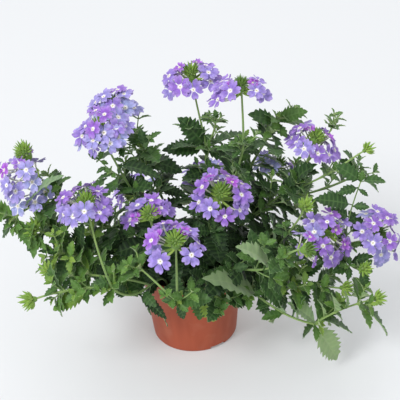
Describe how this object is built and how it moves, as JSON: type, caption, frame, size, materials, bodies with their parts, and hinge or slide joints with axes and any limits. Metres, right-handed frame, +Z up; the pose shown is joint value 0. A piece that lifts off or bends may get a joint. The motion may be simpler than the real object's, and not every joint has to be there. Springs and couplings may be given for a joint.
{
  "type": "potted verbena",
  "caption": "Trailing garden verbena in flower, with violet flower heads and toothed leaves, in a terracotta-coloured moulded plastic nursery pot.",
  "frame": {"origin": "centre of the pot's flat underside", "axes": "+Z up along the pot's axis, -Y towards the front of the plant, +X to the right of the front"},
  "size_m": [0.4021, 0.2895, 0.2954],
  "materials": {
    "pot_plastic": "moulded, matt",
    "compost": "loose, damp",
    "foliage": "matt, hairy",
    "petals": "matt, velvety"
  },
  "bodies": {
    "root": {"pot": "pot_plastic", "soil": "compost", "florets_left_tall": "petals", "florets_left_inner": "petals", "florets_centre_tall": "petals", "florets_right_tall": "petals", "florets_far_left": "petals", "florets_low_left": "petals", "florets_front_left": "petals", "florets_front": "petals", "florets_centre": "petals", "florets_right_high": "petals", "florets_right": "petals", "florets_right_front": "petals", "florets_far_right": "petals", "florets_back_right": "petals", "florets_back_left": "petals", "florets_back": "petals", "stem_left_tall": "foliage", "stem_left_inner": "foliage", "stem_centre_tall": "foliage", "stem_right_tall": "foliage", "stem_far_left": "foliage", "stem_low_left": "foliage", "stem_front_left": "foliage", "stem_front": "foliage", "stem_centre": "foliage", "stem_right_high": "foliage", "stem_right": "foliage", "stem_right_front": "foliage", "stem_far_right": "foliage", "stem_back_right": "foliage", "stem_low_right": "foliage", "stem_front_low": "foliage", "stem_side_low": "foliage", "stem_back_left": "foliage", "stem_back": "foliage", "stem_low_back_left": "foliage", "stem_low_back_right": "foliage", "stem_left_spread": "foliage", "stem_right_spread": "foliage", "stem_back_tall": "foliage"}
  },
  "joints": []
}
